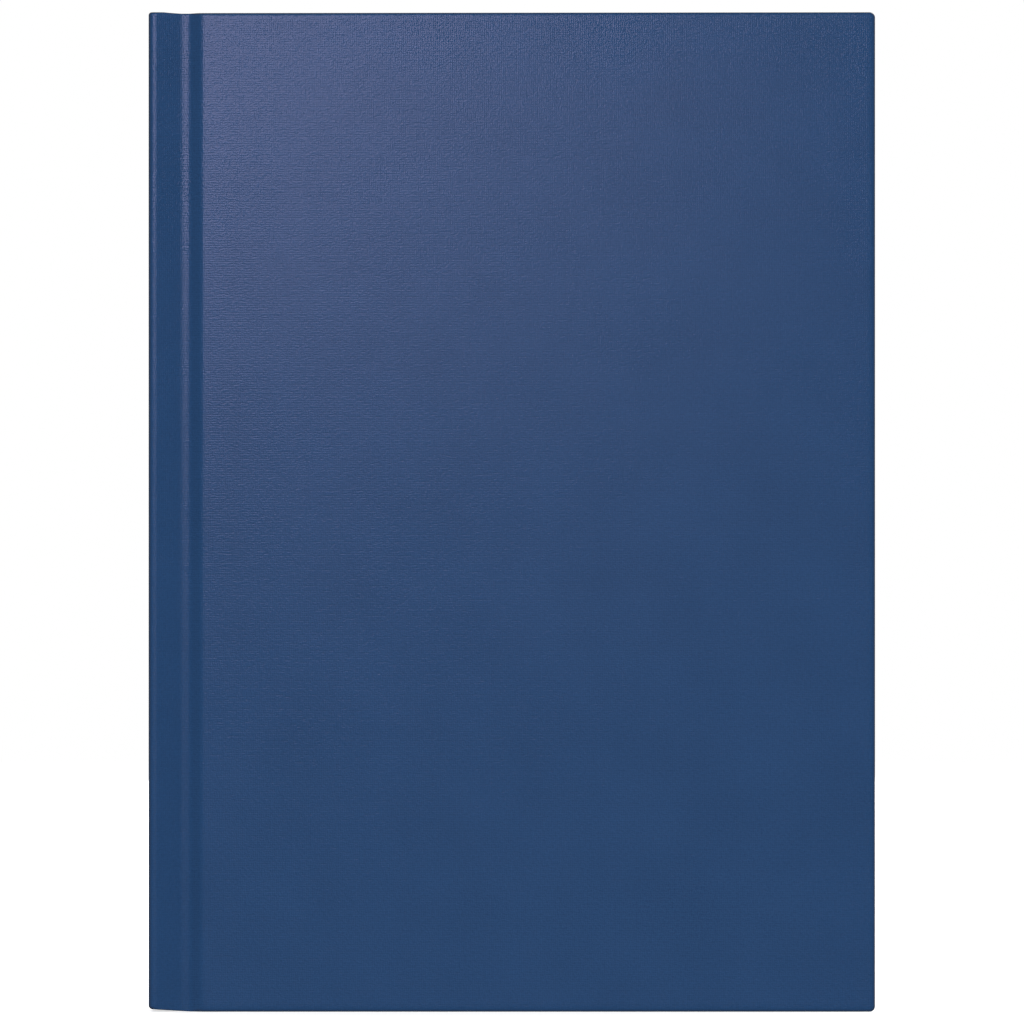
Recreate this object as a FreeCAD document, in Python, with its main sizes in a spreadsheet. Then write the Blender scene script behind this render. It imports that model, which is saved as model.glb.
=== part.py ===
"""Pilot logbook: a case-bound book of sewn sections, standing on its tail, in millimetres.

Frame: +Z runs from tail to head, the front cover faces -Y, the spine faces -X and the fore-edge faces +X.
The origin is at the middle of the footprint, on the surface that the book stands on.

Most sizes are easier to say from two faces of the book, so the helpers below take places as
(across, deep, high): across is measured from the spine's outer face towards the fore-edge, deep is measured
from the front cover's outer face towards the back cover, and high is measured from the tail.
"""

import FreeCAD, Part
import math
import os
import Sketcher
from FreeCAD import Placement, Rotation, Vector

os.makedirs("parts", exist_ok=True)
doc = FreeCAD.newDocument("logbook")

# ---------------------------------------------------------------------------------------------
# Driving dimensions
# ---------------------------------------------------------------------------------------------

DRIVING_DIMENSIONS = {
    # the whole case
    "case_height": 216.0,
    "case_width": 157.0,
    "case_thickness": 15.5,
    "case_corner_radius": 1.2,
    # boards and the cloth that covers them
    "board_thickness": 2.2,
    "board_edge_radius": 0.5,
    "spine_board_thickness": 1.4,
    "cloth_thickness": 0.35,
    "turn_in_width": 15.0,
    "turn_in_sink": 0.3,
    # the grooved joint between the spine and each cover, measured from the spine's outer face
    "ridge_width": 1.6,
    "groove_start": 7.0,
    "groove_end": 8.75,
    "groove_depth": 1.65,
    "board_start": 11.6,
    # the book block
    "fold_inset": 4.5,
    "page_width": 148.0,
    "page_height": 210.0,
    "section_count": 10,
    "section_gap": 0.06,
    "fold_strip_width": 2.5,
    "leaf_start": 5.5,
    # endpapers
    "endpaper_thickness": 0.16,
    "pastedown_margin": 3.0,
    "flyleaf_clearance": 0.10,
    "block_clearance": 0.05,
    # the spine of the block: open-weave mull, kraft lining and headbands
    "mull_thickness": 0.3,
    "mull_height": 160.0,
    "mull_flange_thickness": 0.2,
    "mull_flange_width": 24.0,
    "lining_thickness": 0.3,
    "lining_margin": 2.0,
    "headband_bead_radius": 0.8,
    "headband_tape_height": 9.0,
    # sewing
    "thread_radius": 0.2,
    "thread_clearance": 0.03,
    "thread_inset": 0.62,
    "link_radius": 0.14,
    "kettle_inset": 14.0,
}


def make_sheet(dimensions):
    """Put each driving dimension in the first column of a spreadsheet, under its own alias."""
    spreadsheet = doc.addObject("Spreadsheet::Sheet", "params")
    for row, (alias, value) in enumerate(dimensions.items(), start=1):
        cell_name = f"A{row}"
        spreadsheet.set(cell_name, str(value))
        spreadsheet.setAlias(cell_name, alias)
    doc.recompute()
    return spreadsheet


sheet = make_sheet(DRIVING_DIMENSIONS)


class Size:
    """A length worked out from the sheet: its value now, and the expression that keeps it bound."""

    def __init__(self, value, text):
        self.value = value
        self.text = text

    def combine(self, other, sign, result):
        return Size(result, f"({self.text} {sign} {as_size(other).text})")

    def __add__(self, other):
        return self.combine(other, "+", self.value + as_size(other).value)

    def __sub__(self, other):
        return self.combine(other, "-", self.value - as_size(other).value)

    def __mul__(self, other):
        return self.combine(other, "*", self.value * as_size(other).value)

    def __truediv__(self, other):
        return self.combine(other, "/", self.value / as_size(other).value)


def as_size(number):
    """Let plain numbers take part in sums of sizes."""
    return number if isinstance(number, Size) else Size(float(number), str(float(number)))


def dim(alias):
    """The size held in the sheet under an alias."""
    return Size(float(getattr(sheet, alias)), f"params.{alias}")


# ---------------------------------------------------------------------------------------------
# Sizes worked out from the driving ones
# ---------------------------------------------------------------------------------------------

ZERO = as_size(0)
HEIGHT = dim("case_height")
WIDTH = dim("case_width")
THICKNESS = dim("case_thickness")
CLOTH = dim("cloth_thickness")
PAPER = dim("endpaper_thickness")

# depths below a cover's outer face
BOARD_FACE = CLOTH
BOARD_BACK = BOARD_FACE + dim("board_thickness")
TURN_IN_FACE = BOARD_BACK - dim("turn_in_sink")
FLANGE_FACE = BOARD_BACK - dim("mull_flange_thickness")
PASTEDOWN_BACK = BOARD_BACK + PAPER
FLYLEAF_FACE = PASTEDOWN_BACK + dim("flyleaf_clearance")
FLYLEAF_BACK = FLYLEAF_FACE + PAPER
BLOCK_FACE = FLYLEAF_BACK + dim("block_clearance")

# distances from the spine's outer face
SPINE_BOARD_BACK = CLOTH + dim("spine_board_thickness")
SPINE_TURN_IN_BACK = SPINE_BOARD_BACK + CLOTH
FOLD = dim("fold_inset")
MULL_FACE = FOLD - dim("mull_thickness")
LINING_FACE = MULL_FACE - dim("lining_thickness")
FOLD_STRIP_END = FOLD + dim("fold_strip_width")
LEAF_START = FOLD + dim("leaf_start")
PAGE_END = FOLD + dim("page_width")
BOARD_START = dim("board_start")
BOARD_END = WIDTH - CLOTH

# heights above the tail
TURN_IN = dim("turn_in_width")
BOARD_TAIL = CLOTH
BOARD_HEAD = HEIGHT - CLOTH
PAGE_TAIL = (HEIGHT - dim("page_height")) / 2
PAGE_HEAD = PAGE_TAIL + dim("page_height")
MULL_TAIL = (HEIGHT - dim("mull_height")) / 2
MULL_HEAD = MULL_TAIL + dim("mull_height")
KETTLE_TAIL = PAGE_TAIL + dim("kettle_inset")
KETTLE_HEAD = PAGE_HEAD - dim("kettle_inset")

# the stack of sections
SECTION_COUNT = int(DRIVING_DIMENSIONS["section_count"])
SECTION_PITCH = (THICKNESS - BLOCK_FACE * 2) / dim("section_count")
SECTION_THICKNESS = SECTION_PITCH - dim("section_gap")
SECTION_RADIUS = SECTION_THICKNESS / 2

# the two covers: each turns a depth below its own outer face into a depth below the front cover's
SIDES = {
    "front": lambda depth: depth,
    "back": lambda depth: THICKNESS - depth,
}


def section_centre(index):
    """Depth of the middle of a section, counted from 0 at the front."""
    return BLOCK_FACE + SECTION_PITCH * (index + 0.5)


def layer(side, outer, inner):
    """The pair of depths, in rising order, of a layer between two depths below a cover's outer face."""
    depths = [SIDES[side](outer), SIDES[side](inner)]
    return sorted(depths, key=lambda depth: depth.value)


def frame_place(across, deep, high):
    """Turn (across, deep, high) into sizes along the frame's own X, Y and Z."""
    return across - WIDTH / 2, deep - THICKNESS / 2, as_size(high)


# ---------------------------------------------------------------------------------------------
# Building blocks
# ---------------------------------------------------------------------------------------------


def bind(obj, settings):
    """Bind properties of an object to sizes."""
    for name, size in settings.items():
        obj.setExpression(name, as_size(size).text)


def bind_base(obj, across, deep, high, placement="Placement"):
    """Bind the base point of an object's placement, or of a sketch's offset."""
    for axis, size in zip("xyz", frame_place(across, deep, high)):
        obj.setExpression(f"{placement}.Base.{axis}", size.text)


def make_box(name, across, deep, high):
    """A box between two places in each direction."""
    box = doc.addObject("Part::Box", name)
    bind(box, {"Length": across[1] - across[0], "Width": deep[1] - deep[0], "Height": high[1] - high[0]})
    bind_base(box, across[0], deep[0], high[0])
    return box


def make_rod(name, start, direction, radius, length):
    """A cylinder from a place, along one of the frame's own directions."""
    rod = doc.addObject("Part::Cylinder", name)
    rod.Placement = Placement(Vector(), Rotation(Vector(0, 0, 1), direction))
    bind(rod, {"Radius": radius, "Height": length})
    bind_base(rod, *start)
    return rod


def fuse(name, shapes):
    """One solid from several that touch."""
    fusion = doc.addObject("Part::MultiFuse", name)
    fusion.Shapes = shapes
    fusion.Refine = True
    return fusion


def cut(name, base, tool):
    """One shape less another."""
    difference = doc.addObject("Part::Cut", name)
    difference.Base = base
    difference.Tool = tool
    return difference


def group(name, shapes):
    """Identical small pieces that share a node as separate solids."""
    compound = doc.addObject("Part::Compound", name)
    compound.Links = shapes
    return compound


def origin_plane(body, role):
    """One of a body's own origin planes."""
    return next(feature for feature in body.Origin.OriginFeatures if feature.Role == role)


def new_sketch(body, name, role):
    """A sketch on one of a body's own origin planes."""
    sketch = body.newObject("Sketcher::SketchObject", name)
    sketch.AttachmentSupport = [(origin_plane(body, role), "")]
    sketch.MapMode = "FlatFace"
    return sketch


def pin_point(sketch, geometry, point, along_x, along_y):
    """Hold a point of the sketch at two sizes from the sketch's origin."""
    for kind, size in (("DistanceX", along_x), ("DistanceY", along_y)):
        if size is None:
            continue
        number = sketch.addConstraint(Sketcher.Constraint(kind, -1, 1, geometry, point, size.value))
        sketch.setExpression(f"Constraints[{number}]", size.text)


def polygon_sketch(body, name, corners, high):
    """A level outline of straight edges, from (across, deep) corners."""
    sketch = new_sketch(body, name, "XY_Plane")
    bind_base(sketch, ZERO, ZERO, high, "AttachmentOffset")
    corners = [(as_size(across), as_size(deep)) for across, deep in corners]
    count = len(corners)
    for index, (across, deep) in enumerate(corners):
        next_across, next_deep = corners[(index + 1) % count]
        start = Vector(across.value, deep.value, 0)
        end = Vector(next_across.value, next_deep.value, 0)
        sketch.addGeometry(Part.LineSegment(start, end), False)
    for index, (across, deep) in enumerate(corners):
        sketch.addConstraint(Sketcher.Constraint("Coincident", index, 2, (index + 1) % count, 1))
        pin_point(sketch, index, 1, across, deep)
    return sketch


def make_pad(body, name, sketch, length):
    """Pad a sketch along its normal."""
    pad = body.newObject("PartDesign::Pad", name)
    pad.Profile = sketch
    pad.setExpression("Length", length.text)
    return pad


def upright_profile(name, corners, high):
    """A body of one level outline carried from one height to another."""
    body = doc.addObject("PartDesign::Body", name)
    sketch = polygon_sketch(body, f"{name}_outline", corners, high[0])
    make_pad(body, f"{name}_pad", sketch, high[1] - high[0])
    return body


def board_outline(body, name, across, deep, high, radius):
    """An upright outline at one depth, with its two fore-edge corners rounded."""
    sketch = new_sketch(body, name, "XZ_Plane")
    shift_across, shift_deep, _ = frame_place(ZERO, deep, ZERO)
    sketch.setExpression("AttachmentOffset.Base.x", shift_across.text)
    sketch.setExpression("AttachmentOffset.Base.z", (ZERO - shift_deep).text)
    left, right = across[0].value, across[1].value
    low, top = high[0].value, high[1].value
    r = radius.value
    lines = [
        ((left, low), (right - r, low)),
        ((right, low + r), (right, top - r)),
        ((right - r, top), (left, top)),
        ((left, top), (left, low)),
    ]
    bottom, fore_edge, head, spine_edge = (
        sketch.addGeometry(Part.LineSegment(Vector(*start, 0), Vector(*end, 0)), False) for start, end in lines
    )
    quarter = math.radians(90)
    normal = Vector(0, 0, 1)
    low_circle = Part.Circle(Vector(right - r, low + r, 0), normal, r)
    top_circle = Part.Circle(Vector(right - r, top - r, 0), normal, r)
    low_arc = sketch.addGeometry(Part.ArcOfCircle(low_circle, -quarter, 0), False)
    top_arc = sketch.addGeometry(Part.ArcOfCircle(top_circle, 0, quarter), False)
    rules = [
        ("Tangent", bottom, 2, low_arc, 1),
        ("Tangent", low_arc, 2, fore_edge, 1),
        ("Tangent", fore_edge, 2, top_arc, 1),
        ("Tangent", top_arc, 2, head, 1),
        ("Coincident", head, 2, spine_edge, 1),
        ("Coincident", spine_edge, 2, bottom, 1),
        ("Equal", low_arc, top_arc),
        ("Horizontal", bottom),
        ("Horizontal", head),
        ("Vertical", fore_edge),
        ("Vertical", spine_edge),
    ]
    for rule in rules:
        sketch.addConstraint(Sketcher.Constraint(*rule))
    number = sketch.addConstraint(Sketcher.Constraint("Radius", low_arc, r))
    sketch.setExpression(f"Constraints[{number}]", radius.text)
    pin_point(sketch, bottom, 1, across[0], high[0])
    pin_point(sketch, fore_edge, 1, across[1], None)
    pin_point(sketch, head, 2, None, high[1])
    return sketch


def add_slab(body, name, across, deep, high, radius):
    """Add a slab between two depths; the plane's normal points forwards, so it starts at the deeper one."""
    sketch = board_outline(body, f"{name}_outline", across, deep[1], high, radius)
    return make_pad(body, name, sketch, deep[1] - deep[0])


def cut_slab(body, name, across, deep, high, radius):
    """Cut a slab between two depths; a pocket cuts away from the plane's normal, so from the nearer one."""
    sketch = board_outline(body, f"{name}_outline", across, deep[0], high, radius)
    doc.recompute()
    volume_before = body.Shape.Volume
    pocket = body.newObject("PartDesign::Pocket", name)
    pocket.Profile = sketch
    pocket.setExpression("Length", (deep[1] - deep[0]).text)
    doc.recompute()
    if body.Shape.Volume >= volume_before:
        raise RuntimeError(f"{name} cuts nothing")
    return pocket


def round_upright_edges(body, name, places, radius):
    """Round the upright edges that stand at the given (across, deep) places."""
    match_within = 0.01
    doc.recompute()
    base = body.Tip
    chosen = []
    for across, deep in places:
        x, y, _ = frame_place(as_size(across), as_size(deep), ZERO)
        for number, edge in enumerate(base.Shape.Edges, start=1):
            ends = [vertex.Point for vertex in edge.Vertexes]
            misses = [max(abs(end.x - x.value), abs(end.y - y.value)) for end in ends]
            if max(misses) < match_within:
                chosen.append(f"Edge{number}")
    fillet = body.newObject("PartDesign::Fillet", name)
    fillet.Base = (base, chosen)
    fillet.setExpression("Radius", radius.text)
    doc.recompute()
    return fillet


# ---------------------------------------------------------------------------------------------
# The case: boards, cloth and joints
# ---------------------------------------------------------------------------------------------

OUTER_RADIUS = dim("case_corner_radius")
BOARD_RADIUS = OUTER_RADIUS - CLOTH
WINDOW_ACROSS = (BOARD_START, BOARD_END - TURN_IN)
WINDOW_HIGH = (BOARD_TAIL + TURN_IN, BOARD_HEAD - TURN_IN)
FLANGE_ACROSS = (BOARD_START, BOARD_START + dim("mull_flange_width"))


def make_cover_board(side):
    """A greyboard, pressed back where the turned-in cloth and the mull flange are glued into it."""
    body = doc.addObject("PartDesign::Body", f"{side}_board")
    across = (BOARD_START, BOARD_END)
    high = (BOARD_TAIL, BOARD_HEAD)
    add_slab(body, f"{side}_board_sheet", across, layer(side, BOARD_FACE, TURN_IN_FACE), high, BOARD_RADIUS)
    joint_edge = (BOARD_START, SIDES[side](BOARD_FACE))
    round_upright_edges(body, f"{side}_board_joint_edge", [joint_edge], dim("board_edge_radius"))
    face = layer(side, TURN_IN_FACE, BOARD_BACK)
    add_slab(body, f"{side}_board_face", WINDOW_ACROSS, face, WINDOW_HIGH, BOARD_RADIUS)
    seat = layer(side, FLANGE_FACE, BOARD_BACK)
    cut_slab(body, f"{side}_flange_seat", FLANGE_ACROSS, seat, (MULL_TAIL, MULL_HEAD), BOARD_RADIUS)
    return body


def make_cover_cloth(side):
    """The covering cloth of one cover: the outer face, three wrapped edges and their turn-ins."""
    body = doc.addObject("PartDesign::Body", f"{side}_cover_cloth")
    whole = layer(side, ZERO, BOARD_BACK)
    add_slab(body, f"{side}_cloth_wrap", (BOARD_START, WIDTH), whole, (ZERO, HEIGHT), OUTER_RADIUS)
    window = layer(side, TURN_IN_FACE, BOARD_BACK)
    cut_slab(body, f"{side}_cloth_window", WINDOW_ACROSS, window, WINDOW_HIGH, BOARD_RADIUS)
    room = layer(side, BOARD_FACE, TURN_IN_FACE)
    high = (BOARD_TAIL, BOARD_HEAD)
    cut_slab(body, f"{side}_cloth_board_room", (BOARD_START, BOARD_END), room, high, BOARD_RADIUS)
    return body


def make_joint_cloth(side):
    """The strip of cloth pressed into the groove, which flexes as the cover turns."""
    groove_start, groove_end = dim("groove_start"), dim("groove_end")
    groove_depth = dim("groove_depth")
    ridge = dim("ridge_width")
    path = [
        (ridge, ZERO),
        (ridge + CLOTH, ZERO),
        (groove_start, groove_depth),
        (groove_end, groove_depth),
        (BOARD_START, ZERO),
        (BOARD_START, CLOTH),
        (groove_end + CLOTH / 2, groove_depth + CLOTH),
        (groove_start, groove_depth + CLOTH),
        (SPINE_BOARD_BACK, CLOTH),
        (ridge, CLOTH),
    ]
    corners = [(across, SIDES[side](depth)) for across, depth in path]
    return upright_profile(f"{side}_joint_cloth", corners, (ZERO, HEIGHT))


def make_spine_board():
    """The stiff strip behind the spine cloth, with its two outer edges rounded over."""
    deep = (CLOTH, THICKNESS - CLOTH)
    corners = [(CLOTH, deep[0]), (SPINE_BOARD_BACK, deep[0]), (SPINE_BOARD_BACK, deep[1]), (CLOTH, deep[1])]
    body = upright_profile("spine_board", corners, (BOARD_TAIL, BOARD_HEAD))
    round_upright_edges(body, "spine_board_edges", [(CLOTH, deep[0]), (CLOTH, deep[1])], BOARD_RADIUS)
    return body


def make_spine_cloth(board):
    """The cloth round the spine board, folded over it at head and tail."""
    ridge = dim("ridge_width")
    corners = [(ZERO, ZERO), (ridge, ZERO), (ridge, THICKNESS), (ZERO, THICKNESS)]
    wrap = upright_profile("spine_cloth_wrap", corners, (ZERO, HEIGHT))
    round_upright_edges(wrap, "spine_cloth_edges", [(ZERO, ZERO), (ZERO, THICKNESS)], OUTER_RADIUS)
    deep = (CLOTH * 2, THICKNESS - CLOTH * 2)
    across = (ridge, SPINE_TURN_IN_BACK)
    tail = make_box("spine_tail_fold", across, deep, (ZERO, TURN_IN))
    head = make_box("spine_head_fold", across, deep, (HEIGHT - TURN_IN, HEIGHT))
    return cut("spine_cloth", fuse("spine_cloth_block", [wrap, tail, head]), board)


# ---------------------------------------------------------------------------------------------
# Endpapers and mull, split where they flex at the joint
# ---------------------------------------------------------------------------------------------


def make_pastedown(side):
    """The half of the endpaper that is glued to the inside of a cover."""
    margin = dim("pastedown_margin")
    across = (BOARD_START, WIDTH - margin)
    return make_box(f"{side}_pastedown", across, layer(side, BOARD_BACK, PASTEDOWN_BACK), (margin, HEIGHT - margin))


def make_endpaper_fold(side):
    """The endpaper's fold at the gutter, between the pastedown and the flyleaf."""
    path = [
        (FOLD, BOARD_BACK),
        (BOARD_START, BOARD_BACK),
        (BOARD_START, PASTEDOWN_BACK),
        (FOLD + PAPER, PASTEDOWN_BACK),
        (FOLD + PAPER, FLYLEAF_FACE),
        (LEAF_START, FLYLEAF_FACE),
        (LEAF_START, FLYLEAF_BACK),
        (FOLD, FLYLEAF_BACK),
    ]
    corners = [(across, SIDES[side](depth)) for across, depth in path]
    return upright_profile(f"{side}_endpaper_fold", corners, (PAGE_TAIL, PAGE_HEAD))


def make_flyleaf(side):
    """The free half of the endpaper."""
    return make_box(
        f"{side}_flyleaf", (LEAF_START, PAGE_END), layer(side, FLYLEAF_FACE, FLYLEAF_BACK), (PAGE_TAIL, PAGE_HEAD)
    )


def make_mull_joint(side):
    """The stretch of mull that comes round the shoulder of the block and crosses the joint."""
    path = [
        (MULL_FACE, FLANGE_FACE),
        (BOARD_START, FLANGE_FACE),
        (BOARD_START, BOARD_BACK),
        (FOLD, BOARD_BACK),
        (FOLD, BLOCK_FACE),
        (MULL_FACE, BLOCK_FACE),
    ]
    corners = [(across, SIDES[side](depth)) for across, depth in path]
    return upright_profile(f"{side}_mull_joint", corners, (MULL_TAIL, MULL_HEAD))


def make_mull_flange(side):
    """The end of the mull, glued between a board and its pastedown."""
    body = doc.addObject("PartDesign::Body", f"{side}_mull_flange")
    depths = layer(side, FLANGE_FACE, BOARD_BACK)
    add_slab(body, f"{side}_flange_sheet", FLANGE_ACROSS, depths, (MULL_TAIL, MULL_HEAD), BOARD_RADIUS)
    return body


# ---------------------------------------------------------------------------------------------
# The book block: sections, sewing, linings and headbands
# ---------------------------------------------------------------------------------------------

BLOCK_DEEP = (BLOCK_FACE, THICKNESS - BLOCK_FACE)
ALONG_X = Vector(1, 0, 0)
ALONG_Y = Vector(0, 1, 0)
ALONG_Z = Vector(0, 0, 1)


def section_layer(index):
    """The two depths of a section's faces."""
    centre = section_centre(index)
    return centre - SECTION_RADIUS, centre + SECTION_RADIUS


def make_section(index):
    """The free leaves of one sewn section, which turn together."""
    return make_box(f"section_{index + 1:02d}", (LEAF_START, PAGE_END), section_layer(index), (PAGE_TAIL, PAGE_HEAD))


def make_gutter(index):
    """The stretch of a section's leaves that bends between the fold and the free leaves."""
    across = (FOLD_STRIP_END, LEAF_START)
    return make_box(f"gutter_{index + 1:02d}", across, section_layer(index), (PAGE_TAIL, PAGE_HEAD))


def make_thread_path(prefix, index, radius, overrun):
    """A section's stitch: a run inside the fold, and two stubs through the fold to the kettle stitches."""
    centre = section_centre(index)
    inside = FOLD + dim("thread_inset")
    outside = FOLD - dim("link_radius") - overrun
    run_start = (inside, centre, KETTLE_TAIL - overrun)
    run = make_rod(f"{prefix}_run_{index + 1:02d}", run_start, ALONG_Z, radius, KETTLE_HEAD - KETTLE_TAIL + overrun * 2)
    stubs = [
        make_rod(f"{prefix}_{end}_{index + 1:02d}", (outside, centre, high), ALONG_X, radius, inside - outside)
        for end, high in (("tail", KETTLE_TAIL), ("head", KETTLE_HEAD))
    ]
    return [run] + stubs


def make_section_folds():
    """The sewn folds of all the sections, each pierced for its thread."""
    clearance = dim("thread_clearance")
    folds = []
    for index in range(SECTION_COUNT):
        label = f"{index + 1:02d}"
        high = (PAGE_TAIL, PAGE_HEAD)
        strip = make_box(f"fold_strip_{label}", (FOLD + SECTION_RADIUS, FOLD_STRIP_END), section_layer(index), high)
        back_start = (FOLD + SECTION_RADIUS, section_centre(index), PAGE_TAIL)
        back = make_rod(f"fold_back_{label}", back_start, ALONG_Z, SECTION_RADIUS, PAGE_HEAD - PAGE_TAIL)
        holes = make_thread_path("hole", index, dim("thread_radius") + clearance, clearance * 2)
        fold = fuse(f"fold_{label}", [strip, back])
        folds.append(cut(f"pierced_fold_{label}", fold, fuse(f"holes_{label}", holes)))
    return group("section_folds", folds)


def make_sewing_thread():
    """One continuous thread: a run in every fold, linked across the folds at both kettle stitches."""
    rods = []
    for index in range(SECTION_COUNT):
        rods += make_thread_path("thread", index, dim("thread_radius"), ZERO)
    first, last = section_centre(0), section_centre(SECTION_COUNT - 1)
    for end, high in (("tail", KETTLE_TAIL), ("head", KETTLE_HEAD)):
        start = (FOLD - dim("link_radius"), first, high)
        rods.append(make_rod(f"kettle_link_{end}", start, ALONG_Y, dim("link_radius"), last - first))
    return fuse("sewing_thread", rods)


def make_headband(end):
    """A woven bead over the ends of the folds, with a tape glued to the block's spine."""
    bead_radius = dim("headband_bead_radius")
    tape_height = dim("headband_tape_height")
    if end == "head":
        bead_high = PAGE_HEAD + bead_radius
        tape_high = (PAGE_HEAD - tape_height, bead_high)
    else:
        bead_high = PAGE_TAIL - bead_radius
        tape_high = (bead_high, PAGE_TAIL + tape_height)
    tape = make_box(f"headband_tape_{end}", (MULL_FACE, FOLD), BLOCK_DEEP, tape_high)
    bead_start = (MULL_FACE + bead_radius, BLOCK_DEEP[0], bead_high)
    bead = make_rod(f"headband_bead_{end}", bead_start, ALONG_Y, bead_radius, BLOCK_DEEP[1] - BLOCK_DEEP[0])
    return fuse(f"headband_{end}", [tape, bead])


def make_block_spine():
    """The mull and the kraft lining glued over the folds."""
    mull = make_box("spine_mull", (MULL_FACE, FOLD), BLOCK_DEEP, (MULL_TAIL, MULL_HEAD))
    margin = dim("lining_margin")
    lining_high = (PAGE_TAIL + margin, PAGE_HEAD - margin)
    lining = make_box("spine_lining", (LINING_FACE, MULL_FACE), BLOCK_DEEP, lining_high)
    return [mull, lining]


# ---------------------------------------------------------------------------------------------
# The whole book
# ---------------------------------------------------------------------------------------------


def make_book():
    """Build every sub-part; each object's label is its node's name."""
    spine_board = make_spine_board()
    nodes = [spine_board, make_spine_cloth(spine_board)]
    for side in SIDES:
        nodes += [
            make_cover_board(side),
            make_cover_cloth(side),
            make_joint_cloth(side),
            make_pastedown(side),
            make_endpaper_fold(side),
            make_flyleaf(side),
            make_mull_joint(side),
            make_mull_flange(side),
        ]
    nodes += [make_section(index) for index in range(SECTION_COUNT)]
    nodes.append(group("section_gutters", [make_gutter(index) for index in range(SECTION_COUNT)]))
    nodes += [make_section_folds(), make_sewing_thread(), make_headband("head"), make_headband("tail")]
    nodes += make_block_spine()
    return nodes


def check_and_export(nodes):
    """Stop on any failed object or bad shape, then write one file per node."""
    doc.recompute()
    for obj in doc.Objects:
        if {"Invalid", "Error"} & set(obj.State):
            raise RuntimeError(f"{obj.Label} failed: {obj.State}")
    for node in nodes:
        shape = node.Shape
        if shape.isNull() or not shape.isValid() or not shape.Solids:
            raise RuntimeError(f"{node.Label} has no valid solid")
    for node in nodes:
        node.Shape.exportStep(f"parts/{node.Label}.step")
        print(f"{node.Label}: {len(node.Shape.Solids)} solid(s), {node.Shape.Volume:.2f} mm3")


check_and_export(make_book())
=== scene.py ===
"""The looks of the pilot logbook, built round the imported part, in metres and in its frame.

Places are given as (across, deep, high): across from the spine's outer face towards the fore-edge,
deep from a cover's outer face into the book, and high from the tail.
"""

import math
import random

import bmesh
import bpy
import numpy as np
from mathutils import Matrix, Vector


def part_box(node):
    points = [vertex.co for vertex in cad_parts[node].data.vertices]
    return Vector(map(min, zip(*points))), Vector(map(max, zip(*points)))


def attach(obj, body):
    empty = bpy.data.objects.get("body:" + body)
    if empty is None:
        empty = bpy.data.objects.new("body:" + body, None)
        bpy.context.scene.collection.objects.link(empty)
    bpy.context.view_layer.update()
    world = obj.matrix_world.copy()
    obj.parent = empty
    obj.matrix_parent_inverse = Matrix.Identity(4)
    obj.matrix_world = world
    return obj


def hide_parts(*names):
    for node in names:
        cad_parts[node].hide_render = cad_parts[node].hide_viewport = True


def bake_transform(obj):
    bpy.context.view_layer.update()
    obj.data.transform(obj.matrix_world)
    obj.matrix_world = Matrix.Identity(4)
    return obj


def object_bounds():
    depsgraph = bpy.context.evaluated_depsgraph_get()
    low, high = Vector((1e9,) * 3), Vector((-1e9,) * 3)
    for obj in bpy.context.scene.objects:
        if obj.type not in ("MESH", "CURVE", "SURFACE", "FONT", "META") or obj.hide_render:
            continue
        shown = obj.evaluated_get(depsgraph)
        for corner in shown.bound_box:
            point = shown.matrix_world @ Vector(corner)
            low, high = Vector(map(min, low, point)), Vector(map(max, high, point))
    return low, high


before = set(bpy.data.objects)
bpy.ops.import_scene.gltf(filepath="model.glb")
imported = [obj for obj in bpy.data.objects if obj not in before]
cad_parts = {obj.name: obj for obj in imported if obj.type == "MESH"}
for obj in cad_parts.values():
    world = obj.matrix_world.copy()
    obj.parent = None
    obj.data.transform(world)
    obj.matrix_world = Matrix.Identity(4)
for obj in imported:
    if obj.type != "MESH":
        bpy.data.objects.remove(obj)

MM = 0.001
SIDES = ("front", "back")

# ---------------------------------------------------------------------------------------------
# Sizes read from the frame
# ---------------------------------------------------------------------------------------------

CAD_LOW, CAD_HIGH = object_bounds()
WIDTH, THICKNESS, HEIGHT = CAD_HIGH - CAD_LOW
MIDDLE = THICKNESS / 2


def across_of(node, end):
    """How far a node's nearest (0) or furthest (1) face is from the spine's outer face."""
    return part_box(node)[end].x - CAD_LOW.x


def deep_of(node, end):
    """How far a node's nearest (0) or furthest (1) face is behind the front cover's outer face."""
    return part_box(node)[end].y - CAD_LOW.y


CLOTH = deep_of("front_board", 0)
BOARD_START = across_of("front_board", 0)
BOARD_BACK = deep_of("front_board", 1)
SPINE_TURN_IN_BACK = across_of("spine_cloth", 1)
RIDGE = across_of("front_joint_cloth", 0)
GROOVE_DEPTH = deep_of("front_joint_cloth", 1) - CLOTH
FOLD = across_of("section_folds", 0)
PAGE_END = across_of("section_01", 1)
PAGE_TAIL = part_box("section_01")[0].z
PAGE_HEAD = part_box("section_01")[1].z
TURN_IN = 15.0 * MM
JOINT_STEP = 0.3 * MM
GROOVE_START = BOARD_START * 0.62
GROOVE_END = BOARD_START * 0.76


def place(side, across, deep, high):
    """A point of the row frame, counted from the given cover."""
    y = CAD_LOW.y + deep if side == "front" else CAD_HIGH.y - deep
    return (CAD_LOW.x + across, y, high)


# ---------------------------------------------------------------------------------------------
# Mesh tools
# ---------------------------------------------------------------------------------------------


def running_lengths(points):
    """The length along a line up to each of its points."""
    lengths = [0.0]
    for start, end in zip(points, points[1:]):
        lengths.append(lengths[-1] + (end - start).length)
    return lengths


def along_line(points, end, longest):
    """Add points from the last one to end, no further apart than longest."""
    start = points[-1]
    steps = max(1, math.ceil((end - start).length / longest))
    points.extend(start.lerp(end, step / steps) for step in range(1, steps + 1))


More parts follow.
